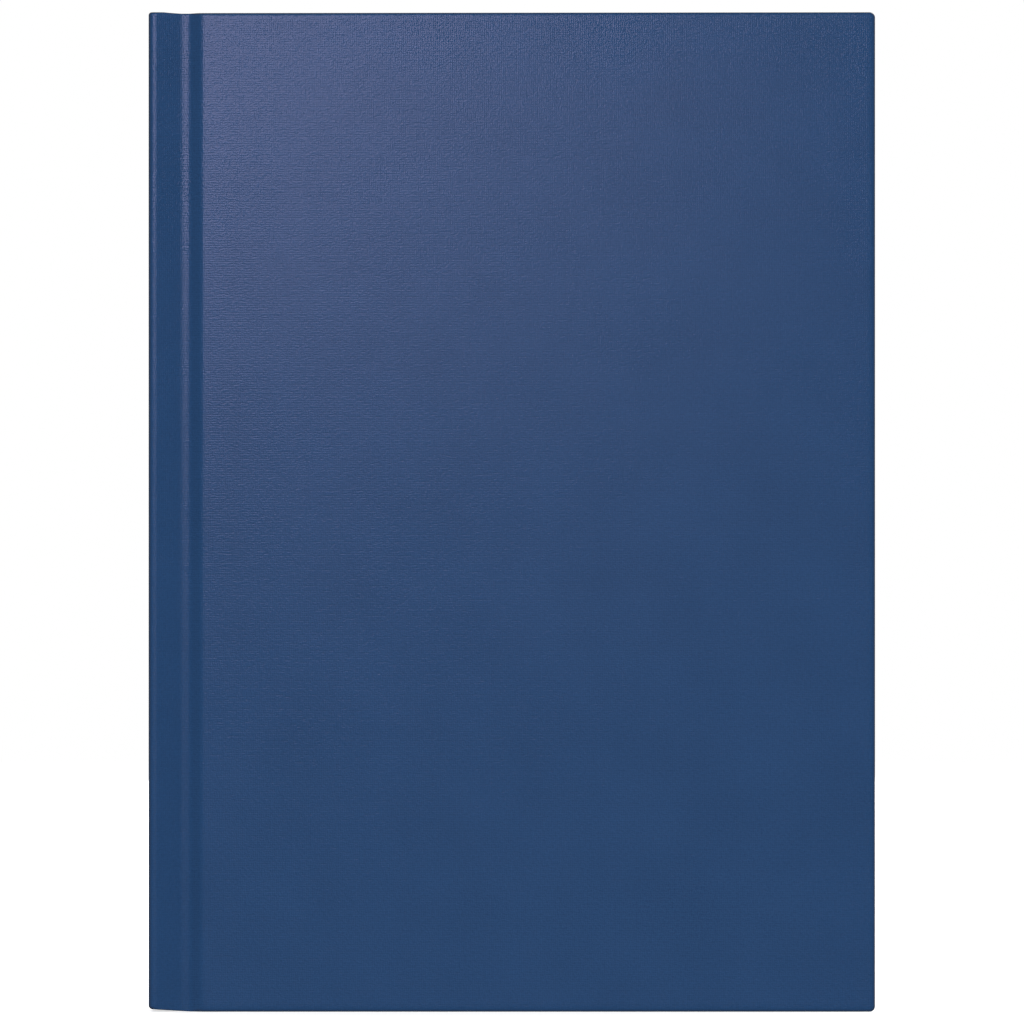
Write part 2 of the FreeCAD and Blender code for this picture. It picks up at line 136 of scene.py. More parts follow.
def rounded_path(corners, longest, arc_step=math.radians(9)):
    """Points along straight runs whose corners, given as (across, deep, radius), are rounded."""
    points = [Vector(corners[0][:2])]
    for before, corner, after in zip(corners, corners[1:], corners[2:]):
        at = Vector(corner[:2])
        back = (Vector(before[:2]) - at).normalized()
        onward = (Vector(after[:2]) - at).normalized()
        turn = math.pi - back.angle(onward)
        reach = corner[2] * math.tan(turn / 2)
        centre = at + (back + onward).normalized() * (corner[2] / math.cos(turn / 2))
        first = at + back * reach - centre
        last = at + onward * reach - centre
        along_line(points, centre + first, longest)
        steps = max(2, math.ceil(turn / arc_step))
        for step in range(1, steps + 1):
            part = turn * step / steps
            spoke = (first * math.sin(turn - part) + last * math.sin(part)) / math.sin(turn)
            points.append(centre + spoke)
    along_line(points, Vector(corners[-1][:2]), longest)
    return points


def finer_where_bent(points, bend_end, longest):
    """The same line with points close together from the spine's ridge to the end of a bend."""
    line = [points[0]]
    for start, end in zip(points, points[1:]):
        length = (end - start).length
        bent = max(start.x, end.x) > RIDGE and min(start.x, end.x) < bend_end
        along_line(line, end, longest if bent else length * 1.01)
    return line


class Surface:
    """Grids of points gathered into one mesh, each point with its place on the flat material."""

    def __init__(self):
        self.points = []
        self.flat = []
        self.faces = []
        self.material_of_face = []

    def add_grid(self, rows, flat_rows, material=0):
        """Add rows of points, and the matching rows of flat places, as a grid of four-sided faces."""
        first = len(self.points)
        width = len(rows[0])
        for row, flat_row in zip(rows, flat_rows):
            self.points.extend(row)
            self.flat.extend(flat_row)
        for row in range(len(rows) - 1):
            for column in range(width - 1):
                corner = first + row * width + column
                self.faces.append((corner, corner + 1, corner + width + 1, corner + width))
                self.material_of_face.append(material)

    def finish(self, name, materials, weld=2e-6):
        """Weld the grids where they meet and make the object, with its flat places as a UV map."""
        mesh = bpy.data.meshes.new(name)
        mesh.from_pydata(self.points, [], self.faces)
        layer = mesh.uv_layers.new(name="flat")
        for loop in mesh.loops:
            layer.data[loop.index].uv = self.flat[loop.vertex_index]
        for polygon, material in zip(mesh.polygons, self.material_of_face):
            polygon.material_index = material
        shape = bmesh.new()
        shape.from_mesh(mesh)
        bmesh.ops.remove_doubles(shape, verts=shape.verts, dist=weld)
        bmesh.ops.dissolve_degenerate(shape, edges=shape.edges, dist=weld / 2)
        bmesh.ops.recalc_face_normals(shape, faces=shape.faces)
        shape.to_mesh(mesh)
        shape.free()
        for material in materials:
            mesh.materials.append(material)
        piece = bpy.data.objects.new(name, mesh)
        bpy.context.scene.collection.objects.link(piece)
        return piece


def shade(piece, sharp_degrees):
    """Smooth shading, with edges sharper than the given angle kept crisp."""
    piece.data.shade_smooth()
    piece.data.set_sharp_from_angle(angle=math.radians(sharp_degrees))


def apply_modifiers(piece):
    """Turn the piece's modifiers into plain mesh."""
    graph = bpy.context.evaluated_depsgraph_get()
    finished = bpy.data.meshes.new_from_object(piece.evaluated_get(graph))
    old = piece.data
    piece.modifiers.clear()
    piece.data = finished
    bpy.data.meshes.remove(old)
    finished.name = piece.name


def thicken(piece, thickness, offset=0):
    """Give a single-layer piece its real thickness, inwards (-1) or both ways (0)."""
    solidify = piece.modifiers.new("thickness", "SOLIDIFY")
    solidify.thickness = thickness
    solidify.offset = offset
    apply_modifiers(piece)


def smoothly(value, low, high):
    """0 at low, 1 at high, with no corner at either end."""
    part = min(max((value - low) / (high - low), 0.0), 1.0)
    return part * part * (3 - 2 * part)


# ---------------------------------------------------------------------------------------------
# Materials
# ---------------------------------------------------------------------------------------------


WHITE = (1.0, 1.0, 1.0)
WAVE_RADIANS = 20  # how far a wave texture of scale 1 turns in one metre
MIX_FACTOR, MIX_FIRST_COLOR, MIX_SECOND_COLOR, MIX_COLOR = 0, 6, 7, 2  # the Mix node's colour sockets


class Finish:
    """A material being built: short calls for the nodes that the finishes below share."""

    def __init__(self, name, roughness, specular=0.5, specular_tint=WHITE):
        self.material = bpy.data.materials.new(name)
        self.material.use_nodes = True
        self.tree = self.material.node_tree
        self.shader = self.tree.nodes["Principled BSDF"]
        self.shader.inputs["Roughness"].default_value = roughness
        self.shader.inputs["Specular IOR Level"].default_value = specular
        self.shader.inputs["Specular Tint"].default_value = (*specular_tint, 1.0)

    def node(self, kind, inputs=(), **settings):
        """A node with its settings, and its inputs either linked or given a value."""
        node = self.tree.nodes.new(kind)
        for setting, value in settings.items():
            setattr(node, setting, value)
        for name, value in dict(inputs).items():
            if isinstance(value, bpy.types.NodeSocket):
                self.tree.links.new(value, node.inputs[name])
            else:
                node.inputs[name].default_value = value
        return node

    def flat(self):
        """Places on the flat material, in metres, which stay with a piece as it bends."""
        return self.node("ShaderNodeUVMap", uv_map="flat").outputs["UV"]

    def solid(self):
        """Places in the body of a rigid piece, in metres."""
        return self.node("ShaderNodeTexCoord").outputs["Object"]

    def stretched(self, places, scale):
        """Places squeezed along an axis, so that a texture there comes out longer."""
        return self.node("ShaderNodeMapping", {"Vector": places, "Scale": scale}).outputs["Vector"]

    def noise(self, places, scale, detail, roughness=0.5):
        """A soft random 0 to 1 value, with about that many patches to the metre."""
        wanted = {"Vector": places, "Scale": scale, "Detail": detail, "Roughness": roughness}
        return self.node("ShaderNodeTexNoise", wanted).outputs["Fac"]

    def threads(self, places, direction, pitch, wander):
        """Even ridges across one direction, a pitch apart, that wander a little."""
        scale = math.tau / WAVE_RADIANS / pitch
        waver = {"Distortion": wander, "Detail": 1.0, "Detail Scale": 1.5}
        wanted = {"Vector": places, "Scale": scale, **waver}
        settings = {"wave_type": "BANDS", "bands_direction": direction}
        return self.node("ShaderNodeTexWave", wanted, **settings).outputs["Fac"]

    def maths(self, operation, *values):
        """The result of a Math node on linked or given values."""
        node = self.tree.nodes.new("ShaderNodeMath")
        node.operation = operation
        for socket, value in zip(node.inputs, values):
            if isinstance(value, bpy.types.NodeSocket):
                self.tree.links.new(value, socket)
            else:
                socket.default_value = value
        return node.outputs["Value"]

    def levels(self, factor, low, high):
        """A 0 to 1 value moved to run from low to high."""
        wanted = {"Value": factor, "To Min": low, "To Max": high}
        return self.node("ShaderNodeMapRange", wanted).outputs["Result"]

    def ramp(self, factor, stops):
        """Colours blended along a 0 to 1 value."""
        node = self.node("ShaderNodeValToRGB", {"Fac": factor})
        while len(node.color_ramp.elements) < len(stops):
            node.color_ramp.elements.new(0.5)
        for element, (position, color) in zip(node.color_ramp.elements, stops):
            element.position = position
            element.color = (*color, 1.0)
        return node.outputs["Color"]

    def weighted(self, first, share, second):
        """A blend of two 0 to 1 values, with the given share of the first."""
        rest = self.maths("MULTIPLY", second, 1 - share)
        return self.maths("ADD", self.maths("MULTIPLY", first, share), rest)

    def mix(self, factor, first, color):
        """A linked colour that gives way to a plain one as the factor rises."""
        node = self.tree.nodes.new("ShaderNodeMix")
        node.data_type = "RGBA"
        self.tree.links.new(factor, node.inputs[MIX_FACTOR])
        self.tree.links.new(first, node.inputs[MIX_FIRST_COLOR])
        node.inputs[MIX_SECOND_COLOR].default_value = (*color, 1.0)
        return node.outputs[MIX_COLOR]

    def color(self, value):
        self.tree.links.new(value, self.shader.inputs["Base Color"])

    def roughness(self, value):
        self.tree.links.new(value, self.shader.inputs["Roughness"])

    def bump(self, height, distance):
        """Let a 0 to 1 value raise the surface by up to the distance."""
        wanted = {"Height": height, "Distance": distance, "Strength": 1.0}
        normal = self.node("ShaderNodeBump", wanted).outputs["Normal"]
        self.tree.links.new(normal, self.shader.inputs["Normal"])


def shades(color, spread):
    """Two stops, a little darker and a little lighter than a colour."""
    darker = tuple(channel * (1 - spread) for channel in color)
    lighter = tuple(channel * (1 + spread) for channel in color)
    return [(0.25, darker), (0.75, lighter)]


BLUE = (0.0188, 0.0612, 0.1600)
# Grey-blue painted shade, mixed into the cloth where its rounded edges turn away from the view
PAINTED_EDGE_SHADE = (0.040, 0.046, 0.066)


def bookcloth():
    """Blue linen-grain cloth with a satin coat: fine crossed threads, pebbled by the coating, with painted
    grey shade where the surface turns away from the view.
    """
    finish = Finish("bookcloth_blue", 0.30, specular=0.30, specular_tint=(0.94, 0.88, 1.0))
    flat = finish.flat()
    pebble = finish.noise(flat, 1700, detail=3.0, roughness=0.65)
    weft = finish.threads(flat, "X", 0.46 * MM, wander=4.0)
    warp = finish.threads(flat, "Y", 0.50 * MM, wander=4.0)
    weave = finish.maths("MULTIPLY", finish.maths("ADD", weft, warp), 0.5)
    grain = finish.weighted(pebble, 0.75, weave)
    cloudy = finish.noise(flat, 60, detail=3.0)
    cloth = finish.ramp(finish.weighted(grain, 0.8, cloudy), shades(BLUE, 0.22))
    # Painted shade: the cloth gives way to a darker grey-blue as its surface turns away from the view
    turned_away = finish.node("ShaderNodeLayerWeight", {"Blend": 0.5}).outputs["Facing"]
    edge = {"Value": turned_away, "From Min": 0.12, "From Max": 0.75}
    finish.color(finish.mix(finish.node("ShaderNodeMapRange", edge).outputs["Result"], cloth, PAINTED_EDGE_SHADE))
    finish.roughness(finish.levels(grain, 0.25, 0.16))
    finish.bump(grain, 0.10 * MM)
    return finish.material


def greyboard():
    """Grey recycled board with darker and lighter fibres."""
    finish = Finish("greyboard", 0.9, specular=0.2)
    solid = finish.solid()
    fibre = finish.noise(finish.stretched(solid, (1, 1, 0.3)), 1600, detail=3.0, roughness=0.7)
    greys = [(0.30, (0.22, 0.21, 0.19)), (0.55, (0.36, 0.34, 0.31)), (0.75, (0.50, 0.48, 0.44))]
    finish.color(finish.ramp(fibre, greys))
    finish.bump(fibre, 0.05 * MM)
    return finish.material


def endpaper():
    """Heavy off-white paper with a faint laid texture."""
    finish = Finish("endpaper_offwhite", 0.75, specular=0.3)
    flat = finish.flat()
    fibre = finish.noise(flat, 900, detail=4.0, roughness=0.65)
    laid = finish.threads(flat, "Y", 1.1 * MM, wander=0.4)
    texture = finish.weighted(fibre, 0.8, laid)
    finish.color(finish.ramp(texture, [(0.30, (0.66, 0.64, 0.58)), (0.70, (0.76, 0.74, 0.68))]))
    finish.bump(texture, 0.03 * MM)
    return finish.material


def log_page():
    """Ledger paper printed with a plain ruled table: rows, columns and a heading rule, no lettering."""
    margin = 14 * MM
    row, column = 7 * MM, 15.5 * MM
    table_end = margin + 8 * column
    body_top = margin + 24 * row + 0.2 * MM
    heading_top = body_top + 2 * row
    finish = Finish("ledger_paper", 0.7, specular=0.3)
    flat = finish.flat()
    fibre = finish.noise(flat, 1100, detail=3.0, roughness=0.6)
    paper = finish.ramp(fibre, [(0.30, (0.74, 0.72, 0.66)), (0.70, (0.82, 0.80, 0.74))])
    axes = finish.node("ShaderNodeSeparateXYZ", {"Vector": flat})
    along = finish.maths("ABSOLUTE", axes.outputs["X"])
    high = axes.outputs["Y"]

    def within(value, low, high_end):
        above = finish.maths("GREATER_THAN", value, low)
        below = finish.maths("LESS_THAN", value, high_end)
        return finish.maths("MULTIPLY", above, below)

    def rule_every(value, pitch, width):
        offset = finish.maths("PINGPONG", value, pitch / 2)
        return finish.maths("LESS_THAN", offset, width / 2)

    inside = finish.maths("MULTIPLY", within(along, margin, table_end), within(high, margin, heading_top))
    body = finish.maths("LESS_THAN", high, body_top)
    rows = finish.maths("MULTIPLY", rule_every(high, row, 0.22 * MM), body)
    columns = rule_every(finish.maths("SUBTRACT", along, margin), column, 0.30 * MM)
    heading = within(high, body_top - 0.4 * MM, body_top + 0.2 * MM)
    lines = finish.maths("MAXIMUM", finish.maths("MAXIMUM", rows, columns), heading)
    ink = finish.maths("MULTIPLY", lines, inside)
    finish.color(finish.mix(finish.maths("MULTIPLY", ink, 0.75), paper, (0.16, 0.27, 0.36)))
    finish.bump(fibre, 0.02 * MM)
    return finish.material


def woven(name, color, pitch, gap_shade):
    """Plain open weave on a flat map: crossed threads with darker gaps between them."""
    finish = Finish(name, 0.85, specular=0.2)
    flat = finish.flat()
    weft = finish.threads(flat, "X", pitch, wander=0.6)
    warp = finish.threads(flat, "Y", pitch, wander=0.6)
    over = finish.maths("MAXIMUM", weft, warp)
    finish.color(finish.ramp(over, [(0.2, tuple(channel * gap_shade for channel in color)), (0.8, color)]))
    finish.bump(over, 0.12 * MM)
    return finish.material


MULL_COLOR = (0.72, 0.68, 0.58)
MULL_PITCH = 0.9 * MM


def mull_lining():
    """The spine's open-weave mull, on the rigid block."""
    finish = Finish("mull_spine", 0.85, specular=0.2)
    solid = finish.solid()
    weft = finish.threads(solid, "Z", MULL_PITCH, wander=0.6)
    warp = finish.threads(solid, "Y", MULL_PITCH, wander=0.6)
    over = finish.maths("MAXIMUM", weft, warp)
    finish.color(finish.ramp(over, [(0.2, (0.40, 0.36, 0.28)), (0.8, MULL_COLOR)]))
    finish.bump(over, 0.12 * MM)
    return finish.material


def kraft():
    """Brown wrapping paper with long fibres."""
    finish = Finish("kraft_brown", 0.8, specular=0.25)
    fibre = finish.noise(finish.stretched(finish.solid(), (1, 1, 0.15)), 1500, detail=4.0, roughness=0.7)
    finish.color(finish.ramp(fibre, [(0.3, (0.27, 0.17, 0.09)), (0.7, (0.42, 0.28, 0.16))]))
    finish.bump(fibre, 0.03 * MM)
    return finish.material


def twisted(name, color):
    """Waxed linen thread, its twist shown as slanting ridges."""
    finish = Finish(name, 0.55, specular=0.4)
    solid = finish.solid()
    slant = {"Vector": solid, "Rotation": (0.6, 0.5, 0.6)}
    turned = finish.node("ShaderNodeMapping", slant).outputs["Vector"]
    twist = finish.threads(turned, "Z", 0.30 * MM, wander=0.5)
    finish.color(finish.ramp(twist, [(0.1, tuple(channel * 0.55 for channel in color)), (0.8, color)]))
    finish.bump(twist, 0.05 * MM)
    return finish.material


MATERIALS = {
    "cover_cloth": bookcloth(),
    "greyboard": greyboard(),
    "endpaper": endpaper(),
    "page_paper": log_page(),
    "mull": woven("mull_open", MULL_COLOR, MULL_PITCH, 0.5),
    "kraft": kraft(),
    "thread": twisted("linen_thread", (0.80, 0.77, 0.68)),
    "headband_navy": twisted("headband_navy", (0.05, 0.10, 0.24)),
    "headband_white": twisted("headband_white", (0.74, 0.72, 0.66)),
    "headband_tape": woven("headband_tape", (0.70, 0.68, 0.62), 0.5 * MM, 0.6),
}

# ---------------------------------------------------------------------------------------------
# The case cloth: one half each side of the spine's middle line
# ---------------------------------------------------------------------------------------------

CLOTH_THICKNESS = CLOTH * 0.94
DOUBLED = CLOTH * 2.06  # two layers with their glue
INNER_DEPTH = BOARD_BACK + 0.06 * MM
EDGE_ZONE = 6.0 * MM  # how far in from an edge its unevenness fades out
LAST_STRETCH = TURN_IN + 2.0 * MM  # before the fore-edge, and beside the tail and head corners
TAIL_RADIUS = 0.95 * MM
HEAD_RADIUS = 0.65 * MM
SPINE_RADIUS = 1.25 * MM
FORE_RADIUS = 1.00 * MM
CORNER_RADIUS = 1.15 * MM

# Places across the book, in mm, and how far the tail edge rises or the head edge dips there, in mm.
TAIL_LIFT = ((0, 1.6, 3.4, 6.6, 9.0), (0.50, 0.50, 0.36, 0.14, 0.0))
HEAD_DROP = ((0, 1.0, 3.3, 4.6, 7.0, 8.8, 10.5, WIDTH / MM), (0.0, 0.0, 0.0, 0.12, 0.26, 0.26, 0.18, 0.0))


def bend_joint(piece):
    """Bake the place of a piece that lies across the joint into its mesh; it keeps the shape it was built
    with.
    """
    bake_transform(piece)


def inner_joint_point(point):
    """Where the turned-in cloth lies behind a point of the joint or the board."""
    doubled = min(point.y, GROOVE_DEPTH) + DOUBLED
    if point.x > GROOVE_START:
        doubled = GROOVE_DEPTH + DOUBLED
    past_joint = smoothly(point.x, GROOVE_END, BOARD_START)
    return Vector((point.x, doubled + (INNER_DEPTH - doubled) * past_joint))


def case_profile():
    """The cloth's outer line, from the middle of the spine to near the fore-edge, and its inner line."""
    spine_end = 2.4 * MM
    corners = [
        (0.0, spine_end),
        (0.0, 0.0, SPINE_RADIUS),
        (RIDGE, 0.0, 2.0 * MM),
        (GROOVE_START, GROOVE_DEPTH, 4.0 * MM),
        (GROOVE_END, GROOVE_DEPTH, 3.0 * MM),
        (BOARD_START, 0.0, 3.0 * MM),
        (WIDTH - LAST_STRETCH, 0.0),
    ]
    spine_face = [Vector((0.0, MIDDLE)), Vector((0.0, (MIDDLE + spine_end) / 2))]
    outer = spine_face + rounded_path(corners, longest=5.0 * MM, arc_step=math.radians(6))
    outer = finer_where_bent(outer, BOARD_START, JOINT_STEP)
    lengths = running_lengths(outer)
    leaves_spine = len(spine_face)
    clear_of_spine = SPINE_TURN_IN_BACK + 0.6 * MM
    joins_joint = next(index for index, point in enumerate(outer) if point.x > clear_of_spine)
    meeting = inner_joint_point(outer[joins_joint])
    slope = (inner_joint_point(outer[joins_joint + 1]) - meeting).normalized()
    corner_depth = meeting.y - slope.y / slope.x * (meeting.x - SPINE_TURN_IN_BACK)
    bend = rounded_path([
        (SPINE_TURN_IN_BACK, spine_end),
        (SPINE_TURN_IN_BACK, corner_depth, 0.4 * MM),
        (meeting.x, meeting.y),
    ], longest=0.2 * MM)
    bend_lengths = running_lengths(bend)
    bend_share = lengths[joins_joint] - lengths[leaves_spine]
    inner = []
    for index, point in enumerate(outer):
        if index < leaves_spine:
            inner.append(Vector((SPINE_TURN_IN_BACK, point.y)))
        elif index < joins_joint:
            reached = (lengths[index] - lengths[leaves_spine]) / bend_share * bend_lengths[-1]
            across = np.interp(reached, bend_lengths, [bent.x for bent in bend])
            deep = np.interp(reached, bend_lengths, [bent.y for bent in bend])
            inner.append(Vector((across, deep)))
        else:
            inner.append(inner_joint_point(point))
    return outer, inner


def edge_wrap(radius, depth):
    """Steps of the wrap over one edge, as (inset, part of the depth, unrolled inset).

    They run over the outer face, round the first bend, across the edge, round the second bend and
    along the turn-in.
    """
    zone_steps, arc_steps, straight_steps, turn_in_steps = 6, 6, 3, 5
    quarter = math.radians(90)
    radius = min(radius, depth / 2 * 0.98)
    steps = []
    for step in range(zone_steps + 1):
        inset = EDGE_ZONE + (radius - EDGE_ZONE) * step / zone_steps
        steps.append((inset, 0.0, inset))
    for step in range(1, arc_steps + 1):
        angle = quarter * step / arc_steps
        inset = radius * (1 - math.sin(angle))
        steps.append((inset, radius * (1 - math.cos(angle)) / depth, radius - radius * angle))
    around = radius - radius * quarter
    for step in range(1, straight_steps + 1):
        straight = (depth - 2 * radius) * step / straight_steps
        steps.append((0.0, (radius + straight) / depth, around - straight))
    around -= depth - 2 * radius
    for step in range(1, arc_steps + 1):
        angle = quarter * step / arc_steps
        inset = radius * (1 - math.cos(angle))
        steps.append((inset, 1 - radius * (1 - math.sin(angle)) / depth, around - radius * angle))
    around -= radius * quarter
    for step in range(1, turn_in_steps + 1):
        inset = radius + (TURN_IN - radius) * step / turn_in_steps
        steps.append((inset, 1.0, around - (inset - radius)))
    return steps


def end_wrap(from_tail, depth):
    """The wrap over the tail or head edge, where the cloth's two sides lie that far apart."""
    return edge_wrap(TAIL_RADIUS if from_tail else HEAD_RADIUS, depth)


OUTER, INNER = case_profile()
LENGTHS = running_lengths(OUTER)
END_LENGTH = LENGTHS[-1] + LAST_STRETCH
FORE_WRAP = edge_wrap(FORE_RADIUS, INNER_DEPTH)
WRAP_STEPS = range(len(FORE_WRAP))
STRETCH_STEPS = 10
CORNER_STEPS = 6
MIDDLE_ROWS = 25
TAIL_AND_HEAD = (True, False)


def edge_height(from_tail, across, inset):
    """The height of a point that far in from the tail or head edge, which rises and falls a little."""
    fade = 1 - smoothly(inset, 0.0, EDGE_ZONE)
    if from_tail:
        return inset + np.interp(across / MM, *TAIL_LIFT) * MM * fade
    return HEIGHT - inset - np.interp(across / MM, *HEAD_DROP) * MM * fade


def end_columns(from_tail, wrap_step):
    """One step of the tail or head wrap, from the spine's middle to where the corner starts."""
    columns = []
    for near, far, length in zip(OUTER, INNER, LENGTHS):
        inset, part, unrolled = end_wrap(from_tail, (far - near).length)[wrap_step]
        columns.append((near.lerp(far, part), inset, length, unrolled))
    inset, part, unrolled = end_wrap(from_tail, INNER_DEPTH)[wrap_step]
    start = WIDTH - LAST_STRETCH
    end = WIDTH - max(FORE_WRAP[wrap_step][0], CORNER_RADIUS)
    for step in range(1, STRETCH_STEPS + 1):
        across = start + (end - start) * step / STRETCH_STEPS
        length = LENGTHS[-1] + across - start
        columns.append((Vector((across, INNER_DEPTH * part)), inset, length, unrolled))
    return columns


def add_end_wrap(surface, side, from_tail):
    """Add the cloth along the tail or head, over the edge and back to the end of its turn-in."""
    rows, flat_rows = [], []
    for wrap_step in WRAP_STEPS:
        row, flat_row = [], []
        for point, inset, length, unrolled in end_columns(from_tail, wrap_step):
            row.append(place(side, point.x, point.y, edge_height(from_tail, point.x, inset)))
            flat_row.append((length, unrolled if from_tail else HEIGHT - unrolled))
        rows.append(row)
        flat_rows.append(flat_row)
    surface.add_grid(rows, flat_rows)


def corner_point(side, from_tail, wrap_step, step):
    """A point of the wrap round a fore-edge corner, and its unrolled inset."""
    turn = step / CORNER_STEPS
    end_inset, end_part, end_unrolled = end_wrap(from_tail, INNER_DEPTH)[wrap_step]
    fore_inset, fore_part, fore_unrolled = FORE_WRAP[wrap_step]
    part = end_part + (fore_part - end_part) * turn
    angle = math.radians(90) * turn
    across = max(fore_inset, CORNER_RADIUS) - max(CORNER_RADIUS - fore_inset, 0.0) * math.sin(angle)
    inset = max(end_inset, CORNER_RADIUS) - max(CORNER_RADIUS - end_inset, 0.0) * math.cos(angle)
    height = edge_height(from_tail, WIDTH - across, inset)
    unrolled = end_unrolled + (fore_unrolled - end_unrolled) * turn
    return place(side, WIDTH - across, INNER_DEPTH * part, height), unrolled


def add_corner(surface, side, from_tail):
    """Add the cloth round a fore-edge corner, from its tail or head side to its fore-edge side."""
    rows, flat_rows = [], []
    for wrap_step in WRAP_STEPS:
        corner = [corner_point(side, from_tail, wrap_step, step) for step in range(CORNER_STEPS + 1)]
        rows.append([point for point, _ in corner])
        flat_rows.append([(END_LENGTH - unrolled, point[2]) for point, unrolled in corner])
    surface.add_grid(rows, flat_rows)


def fore_heights(wrap_step):
    """Heights up the fore-edge at one step of its wrap, from the tail corner to the head corner."""
    tail_inset = end_wrap(True, INNER_DEPTH)[wrap_step][0]
    head_inset = end_wrap(False, INNER_DEPTH)[wrap_step][0]
    low = edge_height(True, WIDTH, max(tail_inset, CORNER_RADIUS))
    top = edge_height(False, WIDTH, max(head_inset, CORNER_RADIUS))
    middle = np.linspace(LAST_STRETCH, HEIGHT - LAST_STRETCH, MIDDLE_ROWS)
    lower = np.linspace(low, middle[0], STRETCH_STEPS + 1)[:-1]
    upper = np.linspace(middle[-1], top, STRETCH_STEPS + 1)[1:]
    return [*lower, *middle, *upper]


def add_fore_wrap(surface, side):
    """Add the cloth along the fore-edge, over the edge and back to the end of its turn-in."""
    rows, flat_rows = [], []
    for wrap_step in WRAP_STEPS:
        inset, part, unrolled = FORE_WRAP[wrap_step]
        heights = fore_heights(wrap_step)
        rows.append([place(side, WIDTH - inset, INNER_DEPTH * part, height) for height in heights])
        flat_rows.append([(END_LENGTH - unrolled, height) for height in heights])
    surface.add_grid(rows, flat_rows)


def add_face(surface, side):
    """Add the cloth's outer face, whose rim follows the first step of each wrap."""
    heights = fore_heights(0)
    columns = end_columns(True, 0)
    rows, flat_rows = [], []
    for index, height in enumerate(heights):
        row = []
        for point, inset, _, _ in columns:
            if index == 0:
                high = edge_height(True, point.x, inset)
            elif index == len(heights) - 1:
                high = edge_height(False, point.x, inset)
            else:
                high = height
            row.append(place(side, point.x, point.y, high))
        rows.append(row)
        flat_rows.append([(length, height) for _, _, length, _ in columns])
    surface.add_grid(rows, flat_rows)


def face_cloth_outwards(cloth, side):
    """Turn the cloth over if its outer face looks into the book."""
    middle = Vector(place(side, WIDTH / 2, 0.0, HEIGHT / 2))
    nearest = min(cloth.data.polygons, key=lambda polygon: (polygon.center - middle).length)
    outwards = -1 if side == "front" else 1
    if nearest.normal.y * outwards < 0:
        cloth.data.flip_normals()


def make_case_cloth(side):
    """Half of the case's cloth: spine, joint and cover, turned in at tail, fore-edge and head."""
    surface = Surface()
    for from_tail in TAIL_AND_HEAD:
        add_end_wrap(surface, side, from_tail)
    for from_tail in TAIL_AND_HEAD:
        add_corner(surface, side, from_tail)
    add_fore_wrap(surface, side)
    add_face(surface, side)
    cloth = surface.finish(f"{side}_case_cloth", [MATERIALS["cover_cloth"]])
    face_cloth_outwards(cloth, side)
    thicken(cloth, CLOTH_THICKNESS, -1)
    shade(cloth, 50)
    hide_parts(f"{side}_cover_cloth", f"{side}_joint_cloth", "spine_cloth")
    bend_joint(cloth)


# ---------------------------------------------------------------------------------------------
# Endpapers, mull and leaves
# ---------------------------------------------------------------------------------------------


def make_strip(name, side, path, low, high, thickness, material):
    """A sheet that follows a path of (across, deep) points and runs straight from low to high."""
    surface = Surface()
    lengths = running_lengths(path)
    heights = np.linspace(low, high, 9)
    rows = [[place(side, point.x, point.y, height) for point in path] for height in heights]
    flat_rows = [[(length, height) for length in lengths] for height in heights]
    surface.add_grid(rows, flat_rows)
    strip = surface.finish(name, [MATERIALS[material]])
    thicken(strip, thickness)
    shade(strip, 35)
    return strip


PAPER = deep_of("front_pastedown", 1) - deep_of("front_pastedown", 0)
PASTEDOWN_BACK = deep_of("front_pastedown", 1)
FLYLEAF_FACE = deep_of("front_flyleaf", 0)
FLYLEAF_BACK = deep_of("front_flyleaf", 1)
PASTEDOWN_END = across_of("front_pastedown", 1)
FOLD_GAP = 0.05 * MM


def make_pastedown(side):
    """The endpaper glued to the cover, from the fold in the gutter, over the turned-in cloth and board."""
    over_turn_in = PASTEDOWN_BACK
    over_board = PASTEDOWN_BACK - 0.04 * MM
    middle = (over_turn_in + FLYLEAF_FACE) / 2
    turn_in_edge = WIDTH - TURN_IN
    path = rounded_path([
        (FOLD + PAPER / 2, middle + FOLD_GAP),
        (FOLD + PAPER / 2, over_turn_in, 0.08 * MM),
        (BOARD_START, over_turn_in, 0.5 * MM),
        (BOARD_START + 4 * MM, over_board, 8 * MM),
        (turn_in_edge - 1 * MM, over_board, 2 * MM),
        (turn_in_edge + 0.5 * MM, over_turn_in, 2 * MM),
        (PASTEDOWN_END, over_turn_in),
    ], longest=6.0 * MM)
    low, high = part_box("front_pastedown")[0].z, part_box("front_pastedown")[1].z
    path = finer_where_bent(path, BOARD_START, JOINT_STEP)
    paper = make_strip(f"{side}_pastedown_paper", side, path, low, high, PAPER * 0.8, "endpaper")
    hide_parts(f"{side}_pastedown", f"{side}_endpaper_fold")
    bend_joint(paper)


def make_flyleaf(side):
    """The free half of the endpaper, from the same fold as the pastedown."""
    middle = (FLYLEAF_FACE + FLYLEAF_BACK) / 2
    path = rounded_path([
        (FOLD + PAPER / 2, (PASTEDOWN_BACK + FLYLEAF_FACE) / 2 - FOLD_GAP),
        (FOLD + PAPER / 2, middle, 0.08 * MM),
        (PAGE_END, middle),
    ], longest=6.0 * MM)
    path = finer_where_bent(path, FOLD + LEAF_BEND + 1 * MM, 0.45 * MM)
    leaf = make_strip(f"{side}_flyleaf_paper", side, path, PAGE_TAIL, PAGE_HEAD, PAPER * 0.9, "endpaper")
    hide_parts(f"{side}_flyleaf", f"{side}_endpaper_fold")
    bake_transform(leaf)


